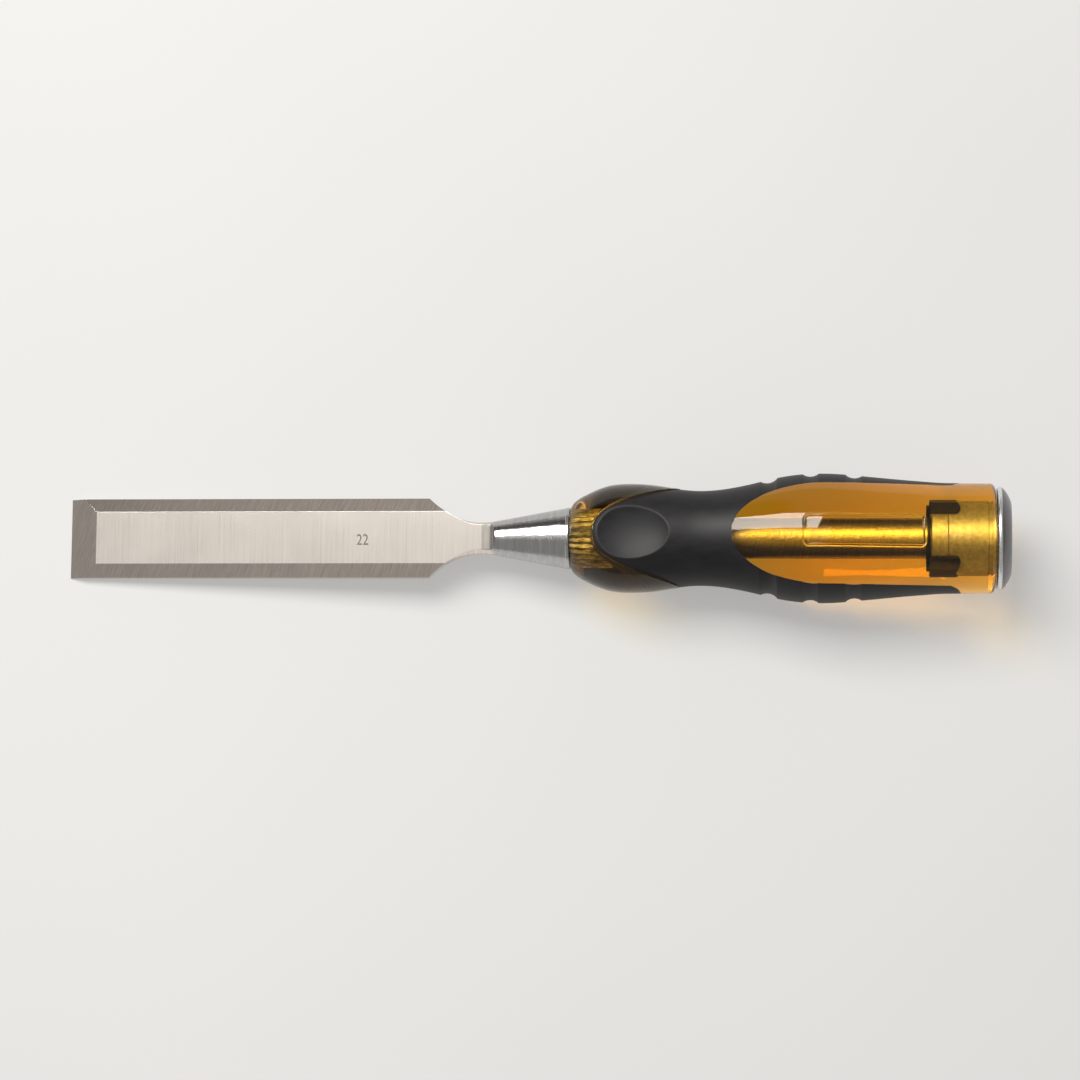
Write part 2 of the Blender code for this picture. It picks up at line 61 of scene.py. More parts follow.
REACH = 30.0 * MM               # how far the cutters reach past the tool
BOND = 0.05 * MM                # how far bonded pieces run into each other, so that no air shows

BLADE_WIDTH = 22.0 * MM
BACK_HEIGHT = -2.0 * MM
TIP_THICKNESS = 3.15 * MM
TOP_SLOPE = 0.0136
EDGE_LAND = 0.03 * MM
PRIMARY_ANGLE = math.radians(23.4)
SIDE_FLAT_HALF = 7.25 * MM
SIDE_ANGLE = math.radians(21.7)
SHOULDER_STATION = 100.3 * MM
NECK_STATION = 115.0 * MM
SIDE_SLOPE = 0.0119             # the side bevels rise a little less than the flat
SHOULDER_CURVE = 2.2            # power of the concave shoulders
SHOULDER_SQUARENESS = 14.0      # how square the forging is where the shoulders begin
SHOULDER_STEPS = 41
SHOULDER_CROWDING = 1.4         # above 1, so that the rings stand closer where the shoulders begin
RUN_OUT_STATION = 114.6 * MM    # where the flat turns into a shallow ramp
RUN_OUT_END_STATION = 117.3 * MM
RUN_OUT_SLOPE = math.radians(9.0)
RUN_OUT_RADIUS = 1.6 * MM       # radius of the step at the end of the ramp
RUN_OUT_STEEP = math.radians(72.0)
NECK_RADIUS = 4.42 * MM
BOLSTER_STATION = 117.0 * MM
BOLSTER_RIM_RADIUS = 8.5 * MM
RIM_STATION = 138.5 * MM
RIM_END_STATION = 139.35 * MM
COLLAR_RADIUS = 5.6 * MM
COLLAR_END_STATION = 152.0 * MM
SPLINE_COUNT = 24
SPLINE_DEPTH = 0.35 * MM
COLLAR_CHAMFER = 0.35 * MM
TANG_RADIUS = 3.8 * MM
TANG_END_STATION = 248.0 * MM

# Station, radius of the clear core, and how far the grip stands above that radius
HANDLE_SHAPE = (
    (139.6 * MM, 8.75 * MM, 0.0),
    (140.4 * MM, 9.85 * MM, -0.42 * MM),
    (141.8 * MM, 10.95 * MM, -0.42 * MM),
    (144.6 * MM, 12.45 * MM, -0.42 * MM),
    (147.4 * MM, 13.7 * MM, -0.5 * MM),
    (151.0 * MM, 14.7 * MM, -0.42 * MM),
    (156.0 * MM, 15.02 * MM, -0.42 * MM),
    (162.0 * MM, 14.7 * MM, -0.42 * MM),
    (168.0 * MM, 13.8 * MM, -0.2 * MM),
    (174.2 * MM, 13.05 * MM, 0.0),
    (180.0 * MM, 13.3 * MM, 0.0),
    (186.0 * MM, 14.25 * MM, 0.0),
    (192.0 * MM, 15.6 * MM, 0.0),
    (197.5 * MM, 16.85 * MM, 0.0),
    (203.0 * MM, 17.58 * MM, 0.0),
    (208.3 * MM, 17.78 * MM, 0.0),
    (213.6 * MM, 17.58 * MM, 0.0),
    (222.0 * MM, 16.8 * MM, 0.0),
    (230.0 * MM, 16.05 * MM, 0.0),
    (236.0 * MM, 15.5 * MM, 0.05 * MM),
    (241.0 * MM, 15.1 * MM, 0.1 * MM),
    (247.0 * MM, 15.1 * MM, 0.0),
    (254.4 * MM, 15.05 * MM, 0.0),
)
HANDLE_END_STATION = 255.65 * MM
HANDLE_END_RADIUS = 13.8 * MM
# Station and radius of the floor of the grip's seat
SEAT_SHAPE = (
    (144.9 * MM, 9.0 * MM),
    (152.0 * MM, 10.8 * MM),
    (163.0 * MM, 11.0 * MM),
    (174.0 * MM, 10.5 * MM),
    (183.0 * MM, 11.3 * MM),
    (196.0 * MM, 14.0 * MM),
    (208.0 * MM, 15.0 * MM),
    (219.0 * MM, 14.6 * MM),
    (231.0 * MM, 13.3 * MM),
    (247.5 * MM, 12.7 * MM),
)
PAD_STATION = 146.1 * MM
PAD_END_STATION = 170.5 * MM
PAD_SPREAD = 3.85 * MM          # half width of the thumb pad 1 mm behind its front
PAD_POWER = 0.4
DIMPLE_STATION = 156.5 * MM
DIMPLE_AXES = (14.35 * MM, 13.3 * MM, 6.0 * MM)
DIMPLE_FLOOR = 11.75 * MM       # height of the dimple's deepest point
WINDOW_STATION = 183.9 * MM
WINDOW_NOSE = 26.0 * MM
WINDOW_HALF_WIDTH = 13.9 * MM
STRIP_END_STATION = 246.2 * MM
STRIP_END_RADIUS = 8.0 * MM
NOTCH_STATIONS = (193.3 * MM, 205.2 * MM, 217.3 * MM)
NOTCH_RADIUS = 3.7 * MM
NOTCH_DEPTH = 0.8 * MM

WASHER_STATION = 236.4 * MM
WASHER_END_STATION = 237.5 * MM
WASHER_RADIUS = 6.2 * MM
SOCKET_STATION = 237.8 * MM
SOCKET_STEP_STATION = 242.6 * MM
SOCKET_END_STATION = 255.65 * MM
SOCKET_FRONT_RADIUS = 6.7 * MM
SOCKET_RADIUS = 7.0 * MM
SLOT_END_STATION = 246.1 * MM
SLOT_RADIUS = 1.25 * MM
TAB_HALF_HEIGHT = 2.2 * MM
SLOT_FLOOR = 4.5 * MM
BOSS_RADIUS = 4.5 * MM
CAP_STATION = 256.0 * MM
CAP_END_STATION = 260.0 * MM
CAP_RADIUS = 14.15 * MM
CAP_FACE_RADIUS = 9.6 * MM
CAP_EDGE_STATION = 257.1 * MM
CAP_EDGE_POINTS = 17
CAP_EDGE_POWER = 1.5            # above 1, so that the corner is nearer to a chamfer than to a round
PANEL_STATIONS = (203.9 * MM, 236.4 * MM)
PANEL_HALF_WIDTH = 4.1 * MM
PANEL_CORNER = 1.3 * MM
PANEL_BEAD = 0.5 * MM           # radius of the bead along the panel's outline
PANEL_DEPTH = 0.1 * MM          # how far the bead's middle lies below the window's surface
PANEL_STEP = 0.5 * MM
MARK_STATION = 80.2 * MM
MARK_SIZE = 4.3 * MM
MARK_OFFSET = 2.1 * MM          # how far the foot of the digits lies from the blade's middle
MARK_THICKNESS = 0.03 * MM
MARK_DEPTH = 0.022 * MM         # how far the middle of the digits lies below the flat
MARK_NARROWING = 0.8

ROUND_STEPS = 160
HANDLE_STEPS = 240
HANDLE_STEP_LENGTH = 0.5 * MM

CAMERA_LEAN = math.radians(8.0)
CAMERA_TURN = math.radians(0.62)
CAMERA_DISTANCE = 1.2
CAMERA_TARGET = (0.0004, 0.00125, 0.0)
CAMERA_LENS = 143.7
CAMERA_SENSOR = 36.0

# Name, lean back and to the right in degrees, distance, sides and radiance
LAMPS = (
    ("key", 26.5, -20.4, 1.0, (0.67, 0.48), 11.0),
    ("overhead", 3.0, -12.0, 1.1, (0.62, 0.42), 0.72),
)
LAMP_COLOUR = (1.0, 0.985, 0.96)
SKY_COLOUR = (1.0, 0.98, 0.96)
SKY_STRENGTH = 0.38
GAP_COLOUR = (0.1, 0.098, 0.096)
GAP_DIRECTION = (-0.62, 0.66, 0.42)
GAP_COSINES = (0.90, 0.94)      # where the dark gap in the sky starts, and where it is full
FLOOR_HALF_SIDE = 2.5
FLOOR_DROP = 0.2 * MM


# Mesh helpers

def tool_matrix(record):
    """Place of the tool's own axes in the frame, read from the flat face of the strike cap."""
    face = next(m for m in record["mounts"] if m["name"] == "strike_face")
    along = Vector(face["axis"]).normalized()
    across = Vector((0.0, 1.0, 0.0))
    up = along.cross(across).normalized()
    origin = Vector(face["pos_m"]) - along * CAP_END_STATION
    turn = Matrix((along, across, up)).transposed().to_4x4()
    return Matrix.Translation(origin) @ turn


def new_object(name, mesh):
    item = bpy.data.objects.new(name, mesh)
    bpy.context.scene.collection.objects.link(item)
    return item


def ring(station, radius, count):
    """Points of a circle round the tool's axis."""
    points = []
    for i in range(count):
        angle = math.tau * i / count
        points.append((station, radius * math.sin(angle), radius * math.cos(angle)))
    return points


def revolve(name, profile, steps, closed=False):
    """A closed turned solid about the X axis from (station, radius) points.

    An open profile starts and ends on the axis. A closed one is a ring's section.
    """
    work = bmesh.new()
    rows = []
    for station, radius in profile:
        if radius < WELD:
            rows.append([work.verts.new((station, 0.0, 0.0))])
        else:
            rows.append([work.verts.new(point) for point in ring(station, radius, steps)])
    pairs = list(zip(rows, rows[1:]))
    if closed:
        pairs.append((rows[-1], rows[0]))
    for low, high in pairs:
        for i in range(steps):
            j = (i + 1) % steps
            if len(low) == 1 and len(high) == 1:
                break
            if len(low) == 1:
                work.faces.new((low[0], high[j], high[i]))
            elif len(high) == 1:
                work.faces.new((low[i], low[j], high[0]))
            else:
                work.faces.new((low[i], low[j], high[j], high[i]))
    return finish_mesh(name, work)


def finish_mesh(name, work):
    """Object of a finished bmesh, with its faces turned outwards."""
    bmesh.ops.recalc_face_normals(work, faces=work.faces)
    mesh = bpy.data.meshes.new(name)
    work.to_mesh(mesh)
    work.free()
    return new_object(name, mesh)


def prism(name, outline, low, high, upright=False):
    """A solid between two levels from a flat outline of (station, offset) points.

    The outline lies flat and is raised along Z, or stands upright and runs across, along Y.
    """
    work = bmesh.new()
    rows = []
    for level in (low, high):
        if upright:
            rows.append([work.verts.new((s, level, h)) for s, h in outline])
        else:
            rows.append([work.verts.new((s, h, level)) for s, h in outline])
    count = len(outline)
    for i in range(count):
        j = (i + 1) % count
        work.faces.new((rows[0][i], rows[0][j], rows[1][j], rows[1][i]))
    work.faces.new(rows[0])
    work.faces.new(rows[1])
    bmesh.ops.triangulate(work, faces=[f for f in work.faces if len(f.verts) > 4])
    return finish_mesh(name, work)


def loft(name, sections):
    """A closed solid through rings of points, with a flat end at each side."""
    work = bmesh.new()
    rows = [[work.verts.new(point) for point in section] for section in sections]
    count = len(rows[0])
    for low, high in zip(rows, rows[1:]):
        for i in range(count):
            j = (i + 1) % count
            work.faces.new((low[i], low[j], high[j], high[i]))
    for end in (rows[0], rows[-1]):
        face = work.faces.new(end)
        bmesh.ops.triangulate(work, faces=[face])
    return finish_mesh(name, work)


def boolean(item, other, operation):
    """Cut or join at once, and remove the other object."""
    step = item.modifiers.new(operation, "BOOLEAN")
    step.operation = operation
    step.solver = "EXACT"
    step.object = other
    bake_modifiers(item)
    bpy.data.objects.remove(other, do_unlink=True)


def bake_modifiers(item):
    """Replace an object's mesh with what its modifiers make of it."""
    graph = bpy.context.evaluated_depsgraph_get()
    mesh = bpy.data.meshes.new_from_object(item.evaluated_get(graph))
    item.modifiers.clear()
    old = item.data
    item.data = mesh
    bpy.data.meshes.remove(old)


def shade(item, angle=30.0):
    """Smooth shading that keeps edges sharper than the angle."""
    mesh = item.data
    mesh.polygons.foreach_set("use_smooth", [True] * len(mesh.polygons))
    mesh.set_sharp_from_angle(angle=math.radians(angle))


def hermite(knots, positions):
    """Values of the smooth curve through (position, value) knots that the solids follow too."""
    at = np.array([knot[0] for knot in knots])
    value = np.array([knot[1] for knot in knots])
    slope = np.empty(len(knots))
    slope[1:-1] = (value[2:] - value[:-2]) / (at[2:] - at[:-2])
    slope[0] = (value[1] - value[0]) / (at[1] - at[0])
    slope[-1] = (value[-1] - value[-2]) / (at[-1] - at[-2])
    positions = np.clip(positions, at[0], at[-1])
    i = np.clip(np.searchsorted(at, positions, side="right") - 1, 0, len(knots) - 2)
    span = at[i + 1] - at[i]
    t = (positions - at[i]) / span
    return (
        (2 * t ** 3 - 3 * t ** 2 + 1) * value[i]
        + (t ** 3 - 2 * t ** 2 + t) * span * slope[i]
        + (3 * t ** 2 - 2 * t ** 3) * value[i + 1]
        + (t ** 3 - t ** 2) * span * slope[i + 1]
    )


def arc(centre, radius, start, end, count):
    """Points along an arc between two angles in degrees."""
    points = []
    for i in range(count):
        angle = math.radians(start + (end - start) * i / (count - 1))
        points.append((centre[0] + radius * math.cos(angle), centre[1] + radius * math.sin(angle)))
    return points


def core_radius(stations):
    return hermite([(s, r) for s, r, rise in HANDLE_SHAPE], np.asarray(stations, float))


def grip_radius(stations):
    return hermite([(s, r + rise) for s, r, rise in HANDLE_SHAPE], np.asarray(stations, float))


def seat_radius(stations):
    return hermite(SEAT_SHAPE, np.asarray(stations, float))


# Outlines

def top_height(station):
    return BACK_HEIGHT + TIP_THICKNESS + TOP_SLOPE * station


def top_cut_outline():
    """Side view of what is ground off: the flat, a shallow ramp, and the step at its end."""
    start = (RUN_OUT_STATION, top_height(RUN_OUT_STATION))
    run = RUN_OUT_END_STATION - RUN_OUT_STATION
    ramp_top = start[1] + run * math.tan(RUN_OUT_SLOPE)
    centre = (
        RUN_OUT_END_STATION - RUN_OUT_RADIUS * math.sin(RUN_OUT_SLOPE),
        ramp_top + RUN_OUT_RADIUS * math.cos(RUN_OUT_SLOPE),
    )
    angles = (math.degrees(RUN_OUT_SLOPE) - 90.0, math.degrees(RUN_OUT_STEEP) - 90.0)
    step = arc(centre, RUN_OUT_RADIUS, *angles, 12)
    rise = REACH - step[-1][1]
    top = (step[-1][0] + rise / math.tan(RUN_OUT_STEEP), REACH)
    return [(-REACH, top_height(-REACH)), start] + step + [top, (-REACH, REACH)]


def primary_cut_outline():
    """Side view of what is ground off above the cutting bevel."""
    edge = BACK_HEIGHT + EDGE_LAND
    run = 10.0 * MM
    rise = run * math.tan(PRIMARY_ANGLE)
    return [(-run, edge - rise), (run, edge + rise), (run, REACH), (-run, REACH)]


def pad_half_width(station):
    return PAD_SPREAD * (max(station - PAD_STATION, 0.0) / MM) ** PAD_POWER


def pad_cut_outline(inset):
    """Plan of what is cut away in front of the thumb pad and beside it."""
    curve = []
    for i in range(40):
        u = (i / 39) ** 2
        station = PAD_STATION + u * (PAD_END_STATION - PAD_STATION)
        curve.append((station - inset, pad_half_width(station) + inset * u))
    mirrored = [(station, -offset) for station, offset in reversed(curve[1:])]
    end = curve[-1][0]
    front = PAD_STATION - REACH
    return curve + [(end, REACH), (front, REACH), (front, -REACH), (end, -REACH)] + mirrored


def window_outline(inset):
    """Plan of the window: half an ellipse at the nose, then straight and parallel sides."""
    half = WINDOW_HALF_WIDTH - inset
    nose = WINDOW_NOSE - inset
    centre = WINDOW_STATION + WINDOW_NOSE
    curve = []
    for i in range(61):
        angle = math.radians(90.0 + 3.0 * i)
        curve.append((centre + nose * math.cos(angle), half * math.sin(angle)))
    back = HANDLE_END_STATION + REACH
    return curve + [(back, -half), (back, half)]


def strip_end_outline(inset):
    """Side view of what is cut away behind the round ends of the side strips."""
    middle = STRIP_END_STATION - STRIP_END_RADIUS
    curve = arc((middle, 0.0), STRIP_END_RADIUS + inset, -90.0, 90.0, 49)
    back = HANDLE_END_STATION + REACH
    return curve + [(middle, REACH), (back, REACH), (back, -REACH), (middle, -REACH)]


def cut_pads_and_windows(item, inset):
    boolean(item, prism("cutter", pad_cut_outline(inset), -REACH, REACH), "DIFFERENCE")
    boolean(item, prism("cutter", window_outline(inset), -REACH, REACH), "DIFFERENCE")
    boolean(item, prism("cutter", strip_end_outline(inset), -REACH, REACH, True), "DIFFERENCE")


# Pieces

def neck_section(station, count):
    """Half width, depth below the axis and squareness of the forging between blade and neck."""
    u = min(max((station - SHOULDER_STATION) / (NECK_STATION - SHOULDER_STATION), 0.0), 1.0)
    spread = (BLADE_WIDTH / 2 - NECK_RADIUS) * (1.0 - u) ** SHOULDER_CURVE
    half = NECK_RADIUS + spread - BOND * (1.0 - u)
    ease = u * u * (3.0 - 2.0 * u)
    depth = -BACK_HEIGHT + (NECK_RADIUS + BACK_HEIGHT) * ease - BOND * (1.0 - u)
    power = 2.0 + SHOULDER_SQUARENESS * (1.0 - u) ** 3
    row = []
    for i in range(count):
        angle = math.tau * i / count
        across, up = math.sin(angle), math.cos(angle)
        below = depth if up < 0.0 else NECK_RADIUS
        reach = ((abs(across) / half) ** power + (abs(up) / below) ** power) ** (-1.0 / power)
        row.append((station, reach * across, reach * up))
    return row


def make_blade():
    """Blade, neck, bolster and tang. The shoulders are lofted into the round neck."""
    turned_part = [
        (BOLSTER_STATION, NECK_RADIUS + 0.13 * MM),
        (BOLSTER_STATION + 1.4 * MM, NECK_RADIUS + 0.28 * MM),
        (BOLSTER_STATION + 2.7 * MM, NECK_RADIUS + 0.5 * MM),
        (RIM_STATION - 0.15 * MM, BOLSTER_RIM_RADIUS - 0.12 * MM),
        (RIM_STATION, BOLSTER_RIM_RADIUS),
        (RIM_END_STATION - 0.35 * MM, BOLSTER_RIM_RADIUS),
        (RIM_END_STATION - 0.1 * MM, BOLSTER_RIM_RADIUS - 0.1 * MM),
        (RIM_END_STATION, BOLSTER_RIM_RADIUS - 0.35 * MM),
        (RIM_END_STATION, TANG_RADIUS),
        (TANG_END_STATION - 0.5 * MM, TANG_RADIUS),
        (TANG_END_STATION, TANG_RADIUS - 0.5 * MM),
    ]
    sections = [neck_section(SHOULDER_STATION - MM, ROUND_STEPS)]
    for i in range(SHOULDER_STEPS):
        u = (i / (SHOULDER_STEPS - 1)) ** SHOULDER_CROWDING
        station = SHOULDER_STATION + u * (NECK_STATION - SHOULDER_STATION)
        sections.append(neck_section(station, ROUND_STEPS))
    sections += [ring(station, radius, ROUND_STEPS) for station, radius in turned_part]
    item = loft("blade_steel", sections)
    half = BLADE_WIDTH / 2
    corners = [(0.0, half), (SHOULDER_STATION, half), (SHOULDER_STATION, -half), (0.0, -half)]
    plate = prism("plate", corners, BACK_HEIGHT, NECK_RADIUS + MM)
    boolean(item, plate, "UNION")
    boolean(item, prism("cutter", top_cut_outline(), -REACH, REACH, True), "DIFFERENCE")
    boolean(item, prism("cutter", primary_cut_outline(), -REACH, REACH, True), "DIFFERENCE")
    for side in (1, -1):
        boolean(item, side_wedge(side), "DIFFERENCE")
    return item


def side_wedge(side):
    """Wedge over one side bevel, rising with the blade's upper flat."""
    reach = BLADE_WIDTH / 2
    section = [
        (SIDE_FLAT_HALF, 0.0),
        (SIDE_FLAT_HALF + reach, -reach * math.tan(SIDE_ANGLE)),
        (SIDE_FLAT_HALF + reach, reach),
        (SIDE_FLAT_HALF, reach),
    ]
    sections = []
    for station in (-5.0 * MM, 110.0 * MM):
        base = top_height(0.0) + SIDE_SLOPE * station
        sections.append([(station, side * across, base + up) for across, up in section])
    return loft("wedge", sections)


def make_collar():
    """Splined collar of the tang, just behind the bolster."""
    sections = []
    for station, trim in (
        (RIM_END_STATION, 0.0),
        (COLLAR_END_STATION - COLLAR_CHAMFER, 0.0),
        (COLLAR_END_STATION, COLLAR_CHAMFER),
    ):
        section = []
        for i in range(2 * SPLINE_COUNT):
            angle = math.pi * i / SPLINE_COUNT
            radius = COLLAR_RADIUS - SPLINE_DEPTH * (i % 2) - trim
            section.append((station, radius * math.sin(angle), radius * math.cos(angle)))
        sections.append(section)
    return loft("tang_collar", sections)


def handle_stations():
    count = round((HANDLE_END_STATION - HANDLE_SHAPE[0][0]) / HANDLE_STEP_LENGTH)
    return np.linspace(HANDLE_SHAPE[0][0], HANDLE_SHAPE[-1][0], count)


def grip_ring(name, inner, outer_offset):
    """Ring that the grip, or the space it fills, is cut from."""
    stations = np.arange(145.1 * MM, 247.2 * MM, HANDLE_STEP_LENGTH)
    outer = grip_radius(stations) + outer_offset
    coarse = stations[::4]
    seat = seat_radius(coarse) + inner
    profile = list(zip(stations, outer)) + list(zip(coarse[::-1], seat[::-1]))
    return revolve(name, profile, HANDLE_STEPS, closed=True)


def make_handle():
    """Clear core with the grip's seat cut out of it and the panel's rim raised on it."""
    stations = handle_stations()
    radii = core_radius(stations)
    profile = [(stations[0], 0.0)] + list(zip(stations, radii))
    profile += [
        (254.8 * MM, 14.9 * MM),
        (255.3 * MM, 14.45 * MM),
        (HANDLE_END_STATION, HANDLE_END_RADIUS),
        (HANDLE_END_STATION, 0.0),
    ]
    item = revolve("handle_amber", profile, HANDLE_STEPS)
    seat = grip_ring("seat", 0.0, REACH / 3)
    cut_pads_and_windows(seat, 0.0)
    boolean(item, seat, "DIFFERENCE")
    boolean(item, make_panel_rim(), "UNION")
    return item


def rounded_outline(start, end, half, radius):
    """Plan of a rectangle with round corners, across the tool's middle."""
    corners = (
        (start + radius, -half + radius, 180.0),
        (end - radius, -half + radius, 270.0),
        (end - radius, half - radius, 0.0),
        (start + radius, half - radius, 90.0),
    )
    outline = []
    for station, offset, angle in corners:
        outline += arc((station, offset), radius, angle, angle + 90.0, 7)
    return outline


def make_panel_rim():
    """Rounded bead along the outline of a plain panel moulded on the upper window."""
    start, end = PANEL_STATIONS
    corners = rounded_outline(start, end, PANEL_HALF_WIDTH, PANEL_CORNER)
    path = []
    for i, point in enumerate(corners):
        after = corners[(i + 1) % len(corners)]
        steps = max(1, round(math.dist(point, after) / PANEL_STEP))
        for step in range(steps):
            station = point[0] + (after[0] - point[0]) * step / steps
            offset = point[1] + (after[1] - point[1]) * step / steps
            height = math.sqrt(float(core_radius(station)) ** 2 - offset ** 2)
            path.append((station, offset, height - PANEL_DEPTH))
    curve = bpy.data.curves.new("panel_rim", "CURVE")
    curve.dimensions = "3D"
    curve.bevel_depth = PANEL_BEAD
    curve.bevel_resolution = 5
    spline = curve.splines.new("POLY")
    spline.points.add(len(path) - 1)
    for point, position in zip(spline.points, path):
        point.co = (*position, 1.0)
    spline.use_cyclic_u = True
    return mesh_from_curve("panel_rim", curve)


def mesh_from_curve(name, curve):
    """Mesh object of a curve or a text, which is removed."""
    item = new_object("curve", curve)
    graph = bpy.context.evaluated_depsgraph_get()
    mesh = bpy.data.meshes.new_from_object(item.evaluated_get(graph))
    bpy.data.objects.remove(item, do_unlink=True)
    return new_object(name, mesh)


def make_size_mark():
    """The blade's width in millimetres, etched flush into its upper flat."""
    curve = bpy.data.curves.new("size_mark", "FONT")
    curve.body = "22"
    curve.size = MARK_SIZE
    curve.extrude = MARK_THICKNESS
    curve.resolution_u = 6
    item = mesh_from_curve("size_mark", curve)
    tilt = Matrix.Rotation(-math.atan(TOP_SLOPE), 4, "Y")
    height = top_height(MARK_STATION) - MARK_DEPTH
    narrow = Matrix.Diagonal((MARK_NARROWING, 1.0, 1.0, 1.0))
    item.data.transform(Matrix.Translation((MARK_STATION, -MARK_OFFSET, height)) @ tilt @ narrow)
    return item


def make_grip():
    """Rubber grip with its dimples, scooped notches, pads and side strips."""
    item = grip_ring("grip_rubber", -BOND, 0.0)
    for side in (1, -1):
        centre = Vector((DIMPLE_STATION, 0.0, side * (DIMPLE_FLOOR + DIMPLE_AXES[2])))
        boolean(item, ellipsoid(centre, DIMPLE_AXES), "DIFFERENCE")
    for station in NOTCH_STATIONS:
        boolean(item, notch_ring(station), "DIFFERENCE")
    cut_pads_and_windows(item, BOND)
    return item


def ellipsoid(centre, axes):
    """Cutter for a thumb dimple."""
    work = bmesh.new()
    bmesh.ops.create_uvsphere(work, u_segments=128, v_segments=64, radius=1.0)
    bmesh.ops.scale(work, vec=axes, verts=work.verts)
    bmesh.ops.translate(work, vec=centre, verts=work.verts)
    return finish_mesh("cutter", work)


def notch_ring(station):
    """Cutter for the scooped notches at one station."""
    radius = float(grip_radius(station)) + NOTCH_RADIUS - NOTCH_DEPTH
    section = arc((station, radius), NOTCH_RADIUS, 0.0, 345.0, 24)
    return revolve("cutter", section, HANDLE_STEPS, closed=True)


def slot_outline(side, inset):
    """Plan of a slot along one side of the socket; a positive inset gives the tab in it."""
    middle = side * (SLOT_FLOOR + SLOT_RADIUS)
    radius = SLOT_RADIUS - inset
    front = SOCKET_STATION - 0.6 * MM
    end = arc((SLOT_END_STATION - SLOT_RADIUS, middle), radius, -90.0, 90.0, 25)
    return end + [(front, middle + radius), (front, middle - radius)]


def make_washer():
    """Washer in front of the socket, with two locking tabs bent back into its slots."""
    section = [
        (WASHER_STATION, TANG_RADIUS),
        (WASHER_STATION, WASHER_RADIUS),
        (WASHER_END_STATION, WASHER_RADIUS),
        (WASHER_END_STATION, TANG_RADIUS),
    ]
    item = revolve("socket_washer", section, ROUND_STEPS, closed=True)
    for side in (1, -1):
        tab = prism("tab", slot_outline(side, BOND), -TAB_HALF_HEIGHT, TAB_HALF_HEIGHT)
        boolean(item, tab, "UNION")
    return item


def make_socket():
    """Socket for the tang's end, with a slot along each side and a boss for the cap."""
    profile = [
        (SOCKET_STATION, 0.0),
        (SOCKET_STATION, SOCKET_FRONT_RADIUS - 0.4 * MM),
        (SOCKET_STATION + 0.4 * MM, SOCKET_FRONT_RADIUS),
        (SOCKET_STEP_STATION, SOCKET_FRONT_RADIUS),
        (SOCKET_STEP_STATION + 0.4 * MM, SOCKET_RADIUS),
        (253.6 * MM, SOCKET_RADIUS),
        (253.8 * MM, SOCKET_RADIUS - 0.25 * MM),
        (254.1 * MM, SOCKET_RADIUS - 0.25 * MM),
        (254.3 * MM, SOCKET_RADIUS),
        (SOCKET_END_STATION, SOCKET_RADIUS),
        (SOCKET_END_STATION, BOSS_RADIUS),
        (CAP_STATION + 1.0 * MM, BOSS_RADIUS),
        (CAP_STATION + 1.0 * MM, 0.0),
    ]
    item = revolve("cap_socket", profile, ROUND_STEPS)
    for side in (1, -1):
        boolean(item, prism("cutter", slot_outline(side, 0.0), -REACH, REACH), "DIFFERENCE")
    return item


def make_cap():
    """Domed cap whose corner falls from the flat face to the flange."""
    width = CAP_RADIUS - CAP_FACE_RADIUS
    height = CAP_END_STATION - CAP_EDGE_STATION
    dome = []
    for i in range(CAP_EDGE_POINTS):
        angle = math.radians(90.0 * i / (CAP_EDGE_POINTS - 1))
        along = height * math.sin(angle) ** CAP_EDGE_POWER
        across = width * max(math.cos(angle), 0.0) ** CAP_EDGE_POWER
        dome.append((CAP_EDGE_STATION + along, CAP_FACE_RADIUS + across))
    profile = [
        (CAP_STATION, 0.0),
        (CAP_STATION, CAP_RADIUS - 0.5 * MM),
        (CAP_STATION + 0.08 * MM, CAP_RADIUS - 0.38 * MM),
        (CAP_STATION + 0.6 * MM, CAP_RADIUS - 0.02 * MM),
        (CAP_STATION + 0.75 * MM, CAP_RADIUS),
    ] + dome + [(CAP_END_STATION, 0.0)]
    return revolve("cap_steel", profile, ROUND_STEPS)


# Materials

